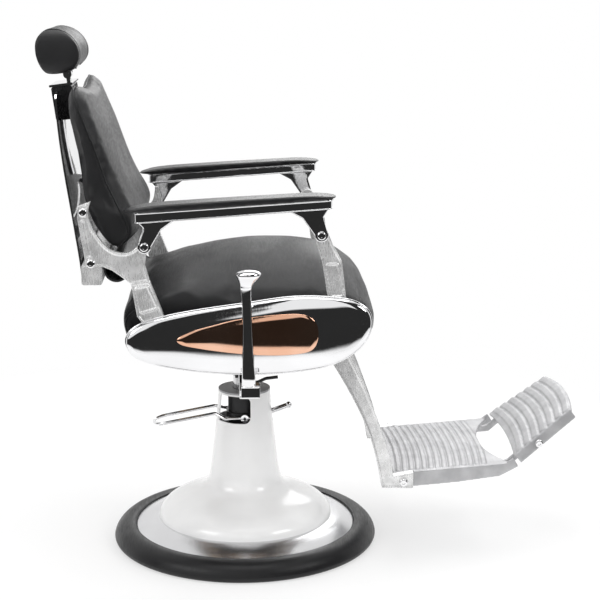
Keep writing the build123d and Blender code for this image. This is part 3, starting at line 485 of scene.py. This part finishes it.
# %% Puffing a pad
def coordinates(obj):
    """All vertex places as an array."""
    flat = np.empty(len(obj.data.vertices) * 3)
    obj.data.vertices.foreach_get("co", flat)
    return flat.reshape(-1, 3)


def place_vertices(obj, places):
    """Puts the vertices where the array says."""
    obj.data.vertices.foreach_set("co", np.ascontiguousarray(places).ravel())
    obj.data.update()


COVER_STIFFNESS, COVER_BENDING, COVER_MASS = 12, 1.5, 0.3
COVER_PRESSURE = 4.0
COVER_FRAMES = 20


def blow_up(obj, cap):
    """Inflates the mesh as cloth for some frames, moving no point further than cap."""
    start = coordinates(obj)
    only(obj)
    cloth = obj.modifiers.new("cover", "CLOTH")
    cloth.settings.quality = 4
    cloth.settings.mass = COVER_MASS
    cloth.settings.tension_stiffness = COVER_STIFFNESS
    cloth.settings.compression_stiffness = COVER_STIFFNESS
    cloth.settings.bending_stiffness = COVER_BENDING
    cloth.settings.use_pressure = True
    cloth.settings.uniform_pressure_force = COVER_PRESSURE
    cloth.settings.effector_weights.gravity = 0.0
    for frame_number in range(1, COVER_FRAMES + 1):
        scene.frame_set(frame_number)
    bpy.ops.object.modifier_apply(modifier=cloth.name)
    scene.frame_set(1)
    moved = coordinates(obj) - start
    length = np.linalg.norm(moved, axis=1)
    share = np.minimum(1.0, cap / np.maximum(length, 1e-9))
    place_vertices(obj, start + moved * share[:, None])
    print(obj.name, "swelled up to", round(float(min(length.max(), cap)) / MM, 1), "mm")


def mirrored(obj, name):
    """A copy on the other side of the chair, its faces turned outwards again."""
    copy = bpy.data.objects.new(name, obj.data.copy())
    scene.collection.objects.link(copy)
    begin_edit(copy, lambda face: True)
    bpy.ops.transform.resize(value=(-1, 1, 1), center_override=(0, 0, 0))
    bpy.ops.mesh.normals_make_consistent(inside=False)
    end_edit()
    return copy


def make_pad(node, name, voxel, shrink, cap, rounding, subdivide=True, shape=None):
    """A cushion from its CAD solid: remeshed, shaped, rounded, shrunk, inflated, subdivided."""
    pad = take(node, name)
    modify(pad, "REMESH", mode="VOXEL", voxel_size=voxel, use_smooth_shade=True)
    if shape:
        place_vertices(pad, shape(coordinates(pad)))
    modify(pad, "SMOOTH", factor=0.5, iterations=rounding)
    begin_edit(pad, lambda face: True)
    bpy.ops.transform.shrink_fatten(value=-shrink)
    end_edit()
    blow_up(pad, cap)
    modify(pad, "SMOOTH", factor=0.5, iterations=4)
    if subdivide:
        modify(pad, "SUBSURF", levels=1, render_levels=1)
    smooth_shade(pad, 80)
    return pad


print("pad tools ready")

# %% The five pads
# How the seat's top falls away sideways, in mm per square mm, at forward distances in mm. The
# top's height on the middle line and the least height at the sides are in mm as well.
SEAT_FALL_AT = (-170, -130, -95, -60, -25, 150, 225, 285)
SEAT_FALL = (0.00050, 0.00058, 0.00085, 0.0010, 0.0012, 0.0012, 0.0008, 0.0002)
SEAT_TOP_AT = (-231, -168, -131, -96, -60, -25, 11, 47, 100, 136, 165, 212, 248, 272, 290)
SEAT_TOP = (627, 645, 659, 670, 679, 685, 689, 690, 689, 685, 680, 661, 632, 597, 555)
SEAT_EDGE_AT = (150, 285)
SEAT_EDGE = (600, 530)
SEAT_REAR_END = -231
# How the back's front face falls away beyond its flat middle, in mm per square mm. The fall
# starts at a slanting plane inside the cushion (through y and z in metres, with a slope) and is
# full one fade further forward.
BACK_FLAT_HALF = 95
BACK_FALL = 0.00055
BACK_AXIS_Y, BACK_AXIS_Z, BACK_LEAN = 0.262, 0.714, 0.262
BACK_FADE = 30 * MM


def seat_form(places):
    """Rounds the seat's top over sideways."""
    forward = -places[:, 1] / MM
    out = places[:, 0] / MM
    fall = np.interp(forward, SEAT_FALL_AT, SEAT_FALL)
    highest = np.interp(forward, SEAT_TOP_AT, SEAT_TOP) - fall * out ** 2
    highest = np.maximum(highest, np.interp(forward, SEAT_EDGE_AT, SEAT_EDGE))
    top = (places[:, 2] > highest * MM) & (forward > SEAT_REAR_END)
    places[:, 2] = np.where(top, highest * MM, places[:, 2])
    return places


def back_form(places):
    """Wraps the back's front face round the sitter."""
    beyond = np.maximum(np.abs(places[:, 0]) / MM - BACK_FLAT_HALF, 0)
    axis = BACK_AXIS_Y + (places[:, 2] - BACK_AXIS_Z) * BACK_LEAN
    front = np.clip((axis - places[:, 1]) / BACK_FADE, 0, 1)
    places[:, 1] += front * BACK_FALL * beyond ** 2 * MM
    return places


seat_pad = make_pad("seat_cushion", "seat_pad", 6 * MM, 4 * MM, 10 * MM, rounding=10,
                    shape=seat_form)
back_pad = make_pad("backrest_cushion", "back_pad", 5.5 * MM, 5 * MM, 11 * MM, rounding=14,
                    shape=back_form)
head_pad = make_pad("headrest_pad", "head_pad", 4.5 * MM, 3 * MM, 8 * MM, rounding=12)
arm_rest = make_pad("arm_pad_right", "arm_rest_right", 2.0 * MM, 0.8 * MM, 2 * MM, rounding=14,
                    subdivide=False)
arm_pads = [arm_rest, mirrored(arm_rest, "arm_rest_left")]
pads = (seat_pad, back_pad, head_pad, *arm_pads)
print("pads:", [(pad.name, len(pad.data.polygons)) for pad in pads])

# %% [markdown]
# ## Seams and welts
# Where two panels of vinyl meet there is a seam: the cover dips, and a thin welt of the same
# vinyl stands in the dip. A bump in the material could draw it, but it would have no outline
# and cast no shadow. So the line is laid on the finished pad, the pad's points near it are
# drawn in, and a cord is put along it.

# %% Sewing a seam
CURVE_STEPS = 24
WELT_PROUD = 0.35


def nearest_on(pad, point):
    """The pad's surface point nearest to a point, and the surface's normal there."""
    _, place, normal, _ = pad.closest_point_on_mesh(Vector(point))
    return place, normal


def smooth_line(points, count, closed=False):
    """Evenly spread points on a smooth line through the given ones."""
    points = [Vector(p) for p in points]
    ends = len(points) if closed else len(points) - 1
    dense = []
    for i in range(ends):
        a, b = points[i], points[(i + 1) % len(points)]
        before = points[i - 1] if (closed or i > 0) else a
        after = points[(i + 2) % len(points)] if (closed or i + 2 < len(points)) else b
        for k in range(CURVE_STEPS):
            t = k / CURVE_STEPS
            dense.append(0.5 * (2 * a + (b - before) * t
                                + (2 * before - 5 * a + 4 * b - after) * t * t
                                + (3 * a - before - 3 * b + after) * t ** 3))
    dense.append(points[0] if closed else points[-1])
    steps = [0.0]
    for a, b in zip(dense, dense[1:]):
        steps.append(steps[-1] + (b - a).length)
    wanted = np.linspace(0, steps[-1], count + 1 if closed else count)
    columns = [np.interp(wanted, steps, [p[axis] for p in dense]) for axis in range(3)]
    spread = np.stack(columns, axis=1)
    return spread[:-1] if closed else spread


def tube_along(name, places, radius, closed=False):
    """A round cord through the places, as a mesh."""
    bpy.ops.object.select_all(action="DESELECT")
    curve = bpy.data.curves.new(name, "CURVE")
    curve.dimensions = "3D"
    curve.bevel_depth = radius
    curve.bevel_resolution = 3
    curve.use_fill_caps = not closed
    spline = curve.splines.new("POLY")
    spline.points.add(len(places) - 1)
    for spline_point, place in zip(spline.points, places):
        spline_point.co = (*place, 1.0)
    spline.use_cyclic_u = closed
    cord = bpy.data.objects.new(name, curve)
    scene.collection.objects.link(cord)
    only(cord)
    bpy.ops.object.convert(target="MESH")
    cord = bpy.context.object
    cord.name = name
    smooth_shade(cord, 60)
    return cord


def sew(pad, name, points, radius, depth, width, count=160, closed=False):
    """Draws the pad in along a line and lays a welt in the dip."""
    line = np.array([nearest_on(pad, p)[0] for p in smooth_line(points, count, closed)])
    places = coordinates(pad)
    normals = np.array([v.normal for v in pad.data.vertices])
    near = np.full(len(places), 1e9)
    for spot in line:
        near = np.minimum(near, ((places - spot) ** 2).sum(axis=1))
    pull = depth * np.exp(-near / (2 * width ** 2))
    place_vertices(pad, places - normals * pull[:, None])
    settled = []
    for spot in line:
        place, normal = nearest_on(pad, spot)
        settled.append(place + normal * radius * WELT_PROUD)
    return tube_along(name, settled, radius, closed)


print("seam tools ready")

# %% Laying the seams
def mirror_line(points):
    """The same line on the other side of the chair."""
    return [(-x, y, z) for x, y, z in points]


SEAT_FRONT = [(-0.262, -0.170, 0.648), (-0.262, -0.212, 0.636), (-0.262, -0.246, 0.612),
              (-0.261, -0.264, 0.580), (-0.259, -0.266, 0.550), (-0.256, -0.256, 0.522)]
SEAT_REAR = [(-0.262, 0.216, 0.600), (-0.262, 0.240, 0.578), (-0.260, 0.253, 0.550),
             (-0.258, 0.252, 0.520)]
BACK_SIDE = [(-0.250, 0.262, 0.716), (-0.256, 0.234, 0.745), (-0.258, 0.246, 0.800),
             (-0.256, 0.274, 0.870), (-0.250, 0.308, 0.950), (-0.236, 0.338, 1.020),
             (-0.205, 0.352, 1.056), (-0.150, 0.356, 1.066), (-0.070, 0.353, 1.058),
             (0.0, 0.352, 1.050)]
back_line = BACK_SIDE + mirror_line(BACK_SIDE)[-2::-1]
seams = [
    ("seat_welt_front_right", seat_pad, SEAT_FRONT, "seat"),
    ("seat_welt_front_left", seat_pad, mirror_line(SEAT_FRONT), "seat"),
    ("seat_welt_rear_right", seat_pad, SEAT_REAR, "seat"),
    ("seat_welt_rear_left", seat_pad, mirror_line(SEAT_REAR), "seat"),
    ("back_welt", back_pad, back_line, "backrest"),
]
for name, pad, line, body in seams:
    cord = sew(pad, name, line, radius=1.6 * MM, depth=2.2 * MM, width=4.5 * MM)
    hand_over(cord, FINISH["leather"], body=body)

# %% [markdown]
# The head cushion is a roll with a cap sewn into each end, so its seam is a closed ring. It is
# sewn in the same way as the others, with a thinner welt.

# %% The head cushion's side caps
CAP_OUT = 0.094
CAP_SEAM = [(0.380, 1.160), (0.356, 1.138), (0.344, 1.100), (0.356, 1.074), (0.386, 1.066),
            (0.414, 1.072), (0.427, 1.102), (0.421, 1.140), (0.404, 1.157)]
for side, sign in (("right", -1), ("left", 1)):
    line = [(sign * CAP_OUT, y, z) for y, z in CAP_SEAM]
    cord = sew(head_pad, "head_welt_" + side, line, radius=1.4 * MM, depth=2.0 * MM,
               width=3.5 * MM, count=120, closed=True)
    hand_over(cord, FINISH["leather"], body="headrest")
hand_over(seat_pad, FINISH["leather"], "seat_cushion")
hand_over(back_pad, FINISH["leather"], "backrest_cushion")
hand_over(head_pad, FINISH["leather"], "headrest_pad")
for pad, side in zip(arm_pads, ("right", "left")):
    hand_over(pad, FINISH["arm_leather"], "arm_pad_" + side)

# %% [markdown]
# ## Crowned chrome side panels and their copper inlays
# The panel is pressed from one sheet: an upright wall, a tight round, then a slow crown to the
# middle. The crown matters more than anything else here, because it spreads the room's
# reflection into a white band below, a dark one across and bright patches above. A subdivided
# cage could give the crown, but it would round off the outline. So a filled circle is drawn to
# the outline, its edge is rounded by insets, and the crown is made by extruding the face and
# scaling it down step by step.

# %% Filled outlines
OUTLINE_POINTS = 168


def outline_face(name, points, x):
    """A filled circle drawn to the outline through (forward, up) points in mm, at -X = x."""
    line = smooth_line([(-x, -u * MM, z * MM) for u, z in points], OUTLINE_POINTS, closed=True)
    bpy.ops.object.select_all(action="DESELECT")
    bpy.ops.mesh.primitive_circle_add(vertices=OUTLINE_POINTS, radius=1.0, fill_type="NGON",
                                      calc_uvs=False, location=(0, 0, 0))
    obj = bpy.context.object
    obj.name = name
    place_vertices(obj, line)
    if obj.data.polygons[0].normal.x > 0:
        begin_edit(obj, lambda face: True)
        bpy.ops.mesh.flip_normals()
        end_edit()
    return obj


def crown(obj, middle, rings):
    """Extrudes the selected face outwards; each ring is (scale of the first, rise in mm)."""
    last = 1.0
    for scale, rise in rings:
        bpy.ops.mesh.extrude_region_move(TRANSFORM_OT_translate={"value": (-rise * MM, 0, 0)})
        step = scale / last
        bpy.ops.transform.resize(value=(1, step, step), center_override=middle)
        last = scale


print("outline tools ready")

# %% The panels
PANEL = [(-244, 540), (-222, 500), (-135, 476), (-20, 464), (95, 467), (190, 486), (248, 530),
         (258, 585), (215, 617), (110, 625), (0, 612), (-125, 594), (-210, 573)]
PANEL_FOOT = 0.2942
PANEL_WALL = 4 * MM
PANEL_ROUND = ((0.5, 2.6), (1.3, 2.4), (2.3, 1.9), (3.6, 1.5), (4.6, 0.8))
PANEL_CROWN = ((0.94, 0.9), (0.87, 0.9), (0.78, 0.9), (0.66, 0.8), (0.50, 0.65), (0.32, 0.4),
               (0.14, 0.15))
PANEL_MIDDLE = (0, -0.010, 0.546)
panel = outline_face("panel_right", PANEL, PANEL_FOOT)
begin_edit(panel, lambda face: True)
bpy.ops.mesh.extrude_region_move(TRANSFORM_OT_translate={"value": (-PANEL_WALL, 0, 0)})
for inwards, outwards in PANEL_ROUND:
    bpy.ops.mesh.inset(thickness=inwards * MM, depth=outwards * MM)
crown(panel, PANEL_MIDDLE, PANEL_CROWN)
end_edit()
smooth_shade(panel, 50)
print("panel faces:", len(panel.data.polygons))

# %% [markdown]
# The inlay is a thin copper plate on the panel. A separate colour on the panel would have no
# edge to catch the light, so it is a piece of its own with a slight crown, and each of its points
# is then moved out to the panel's surface below it. Its back lies on the panel and is left open.

# %% The inlays
INLAY = [(-139, 543), (-110, 558), (-67, 570), (-16, 582), (50, 590), (112, 592), (142, 578),
         (150, 547), (138, 517), (100, 507), (40, 506), (-30, 512), (-100, 523), (-132, 531)]
INLAY_CROWN = ((0.93, 0.45), (0.84, 0.5), (0.72, 0.45), (0.56, 0.35), (0.38, 0.2), (0.18, 0.1))
INLAY_MIDDLE = (0, -0.030, 0.548)
OUTSIDE_X = -0.4
inlay = outline_face("inlay_piece_right", INLAY, 0.0)
begin_edit(inlay, lambda face: True)
bpy.ops.mesh.inset(thickness=0.4 * MM, depth=0.7 * MM)
bpy.ops.mesh.inset(thickness=1.2 * MM, depth=0.6 * MM)
crown(inlay, INLAY_MIDDLE, INLAY_CROWN)
end_edit()
for vertex in inlay.data.vertices:
    start = Vector((OUTSIDE_X, vertex.co.y, vertex.co.z))
    place = panel.ray_cast(start, Vector((1, 0, 0)))[1]
    vertex.co.x += place.x
smooth_shade(inlay, 50)
for right, name, metal, node in ((panel, "panel_left", "chrome", "side_panel"),
                                 (inlay, "inlay_piece_left", "copper", "inlay")):
    hand_over(right, FINISH[metal], node + "_right")
    hand_over(mirrored(right, name), FINISH[metal], node + "_left")

# %% [markdown]
# The panel's rolled edge shows as a thin bright line all round. Modelled as part of the panel it
# would need a wall folded back on itself, so it is a cord that follows the same outline.

# %% The bright bead behind the panel's edge
BEAD_R = 2.6 * MM
BEAD_OUT = 0.2945
bead_line = smooth_line([(-BEAD_OUT, -u * MM, z * MM) for u, z in PANEL], 220, closed=True)
bead = tube_along("panel_bead_right", bead_line, BEAD_R, closed=True)
hand_over(bead, FINISH["chrome"], body="seat")
hand_over(mirrored(bead, "panel_bead_left"), FINISH["chrome"], body="seat")

# %% [markdown]
# ## Cast aluminium posts, cradles and legs
# These are sand castings, ground and polished: the rim round each face stands proud and bright,
# the field inside it keeps its cast skin and lies a little deeper. Insetting the face would draw
# such a rim on a simple outline, but on outlines with holes and tight corners the inset crosses
# itself. So each casting starts from its CAD node, remeshed into a fine grid. The points of the
# outer face that lie further from an edge than the rim is wide are set back, and a light
# smoothing then rounds every edge the way polishing does. The left side is a mirrored copy.

# %% Rimmed castings
WALL_FROM, WALL_TO = 1.5 * MM, 4.0 * MM
OUTER_FACE = 0.6 * MM
RIM_SLOPE = 0.9 * MM
CASTING_VOXEL = 1.3 * MM
CASTING_PASSES = 3


def sink_field(piece, rim, deep):
    """Sets the outer face back, except for a rim along every edge and hole."""
    places = coordinates(piece)
    inwards = places[:, 0] - places[:, 0].min()
    wall = np.nonzero((inwards > WALL_FROM) & (inwards < WALL_TO))[0]
    edges = KDTree(len(wall))
    for index in wall:
        edges.insert((0, places[index, 1], places[index, 2]), int(index))
    edges.balance()
    for index in np.nonzero(inwards < OUTER_FACE)[0]:
        distance = edges.find((0, places[index, 1], places[index, 2]))[2]
        share = min(max((distance - rim) / RIM_SLOPE, 0.0), 1.0)
        places[index, 0] += deep * share * share * (3 - 2 * share)
    place_vertices(piece, places)


def rimmed(node, name, rim, deep):
    """A casting with a raised rim round its outer face."""
    piece = take(node, name)
    modify(piece, "REMESH", mode="VOXEL", voxel_size=CASTING_VOXEL, use_smooth_shade=True)
    sink_field(piece, rim, deep)
    modify(piece, "SMOOTH", factor=0.5, iterations=CASTING_PASSES)
    smooth_shade(piece, 60)
    return piece


# Each casting's rim width and the depth of its field, in mm.
CASTINGS = (("rear_post_", 3.4, 2.2), ("front_post_", 3.4, 2.2), ("leg_", 3.0, 2.0),
            ("back_casting_", 4.0, 1.8))
for node, rim, deep in CASTINGS:
    casting = rimmed(node + "right", node + "cast_right", rim * MM, deep * MM)
    hand_over(casting, FINISH["cast_metal"], node + "right")
    hand_over(mirrored(casting, node + "cast_left"), FINISH["cast_metal"], node + "left")

# %% [markdown]
# ## Softened castings
# Small cast parts have no crisp edge anywhere. Bevels would have to be chosen edge by edge and
# would collide at the ribs. So these parts are copied from the CAD nodes, remeshed into a fine
# even grid and smoothed a little, which rounds every edge and fills every corner the way
# polishing and plating do.

# %% Softening
def softened(node, name, voxel, passes):
    """A copy of a CAD node with all its edges rounded over."""
    piece = take(node, name)
    modify(piece, "REMESH", mode="VOXEL", voxel_size=voxel, use_smooth_shade=True)
    modify(piece, "SMOOTH", factor=0.5, iterations=passes)
    smooth_shade(piece, 60)
    return piece


brackets = softened("arm_brackets_right", "arm_brackets_cast_right", 1.2 * MM, 6)
hand_over(brackets, FINISH["chrome"], "arm_brackets_right")
hand_over(mirrored(brackets, "arm_brackets_cast_left"), FINISH["chrome"], "arm_brackets_left")
# Each plate's and arm's grid size in mm, and its finish.
SOFT_METAL = (("foot_plate", 1.9, "ribbed_metal"), ("toe_plate", 1.9, "ribbed_metal"),
              ("lever_arm", 1.5, "chrome"))
for node, voxel, metal in SOFT_METAL:
    hand_over(softened(node, node + "_cast", voxel * MM, CASTING_PASSES), FINISH[metal], node)

# %% [markdown]
# ## Arm trays
# Each arm pad is let into a chromed tray, a long shallow box with rounded edges. A bright bead
# runs round its top where leather meets metal, and a thinner one round its foot. An inset could
# draw a bead into the tray's wall, but softening the tray would melt it away. So the tray is its
# CAD node softened, and the beads are cords that follow its plan outline.

# %% Trays and beads
# The tray's plan in mm: its ends, its middle line, its half width and its corners' radius.
TRAY_REAR, TRAY_FRONT = -221, 178
TRAY_MIDDLE, TRAY_HALF, TRAY_ROUND = 296, 24, 12
BEAD_OUTWARDS = 0.2
# Each bead's heights at the rear and at the front of the tray, and its radius, in mm.
TRAY_BEADS = (("top", (802.5, 827.5), 2.0), ("foot", (784, 811), 1.3))
CORNER_STEPS = 8


def tray_outline(outwards, height_rear, height_front):
    """Points round the tray's plan, at heights in mm that run from rear to front."""
    half, round_r = TRAY_HALF + outwards, TRAY_ROUND + outwards
    rear, front = TRAY_REAR - outwards, TRAY_FRONT + outwards
    slope = (height_front - height_rear) / (TRAY_FRONT - TRAY_REAR)
    spots = []
    for corner, (out, ahead) in enumerate(((1, 1), (-1, 1), (-1, -1), (1, -1))):
        middle_out = TRAY_MIDDLE + out * (half - round_r)
        middle_ahead = (front - round_r) if ahead > 0 else (rear + round_r)
        for k in range(CORNER_STEPS + 1):
            angle = math.radians(90 * (corner + k / CORNER_STEPS))
            u = middle_ahead + round_r * math.sin(angle)
            x = middle_out + round_r * math.cos(angle)
            spots.append((-x * MM, -u * MM, (height_rear + slope * (u - TRAY_REAR)) * MM))
    return spots


tray = softened("arm_tray_right", "tray_right", 1.5 * MM, 6)
hand_over(tray, FINISH["chrome"], "arm_tray_right")
hand_over(mirrored(tray, "tray_left"), FINISH["chrome"], "arm_tray_left")
for label, heights, radius in TRAY_BEADS:
    outline = tray_outline(BEAD_OUTWARDS, *heights)
    bead = tube_along("tray_bead_" + label + "_right", outline, radius * MM, closed=True)
    hand_over(bead, FINISH["chrome"], body="armrest_right")
    hand_over(mirrored(bead, "tray_bead_" + label + "_left"), FINISH["chrome"], body="armrest_left")

# %% [markdown]
# ## The recline lever
# A flat polished bar rises outside the panel, waists in and flares into a knob like a flattened
# egg that leans forward. A spin would make both round, but they are longer than they are wide
# and their middles drift forward. So bar and knob are grown from a circle: extrude up, scale,
# repeat.

# %% Growing the bar and the knob
GROWN_SIDES = 40


def grow(name, x, rings):
    """A form grown upwards; each ring is (height, middle ahead, half length, half width) in mm."""
    bpy.ops.object.select_all(action="DESELECT")
    height, ahead, long_way, wide = rings[0]
    bpy.ops.mesh.primitive_circle_add(vertices=GROWN_SIDES, radius=1.0, fill_type="NGON",
                                      location=(-x, -ahead * MM, height * MM))
    piece = bpy.context.object
    piece.name = name
    piece.scale = (wide * MM, long_way * MM, 1)
    bpy.ops.object.transform_apply(location=True, rotation=True, scale=True)
    begin_edit(piece, lambda face: True)
    for before, after in zip(rings, rings[1:]):
        step = (0, -(after[1] - before[1]) * MM, (after[0] - before[0]) * MM)
        bpy.ops.mesh.extrude_region_move(TRANSFORM_OT_translate={"value": step})
        bpy.ops.transform.resize(value=(after[3] / before[3], after[2] / before[2], 1),
                                 center_override=(-x, -after[1] * MM, after[0] * MM))
    bpy.ops.mesh.select_all(action="SELECT")
    bpy.ops.mesh.normals_make_consistent(inside=False)
    end_edit()
    smooth_shade(piece, 50)
    return piece


LEVER_X = 0.341
upright = grow("lever_bar", LEVER_X, [
    (449, 6, 13.2, 7.0), (451, 6, 14.0, 7.8), (470, 6, 13.8, 7.9), (500, 5, 12.6, 7.6),
    (533, 4.5, 10.8, 7.2), (575, 4, 9.6, 6.8), (610, 3, 9.4, 6.6), (636, 2, 10.2, 6.8),
    (648, 1.5, 11.2, 7.4), (652, 1.5, 11.6, 7.8)])
hand_over(upright, FINISH["chrome"], "lever_upright")
knob = grow("lever_handle", LEVER_X, [
    (650, 1.5, 10.6, 7.4), (652, 1.5, 12.2, 8.6), (656, 1.6, 12.4, 8.8), (659, 2, 12.8, 9.2),
    (664, 3, 15.0, 10.6), (670, 5, 19.0, 13.6), (675, 6.5, 23.0, 17.0), (679, 7.2, 25.2, 18.8),
    (682, 7.4, 25.6, 19.2), (684.5, 7.4, 24.8, 18.4), (687, 7.4, 21.5, 15.6),
    (689, 7.4, 15.5, 11.0), (690.2, 7.4, 8.0, 5.6), (690.6, 7.4, 2.0, 1.4)])
hand_over(knob, FINISH["chrome"], "lever_knob")
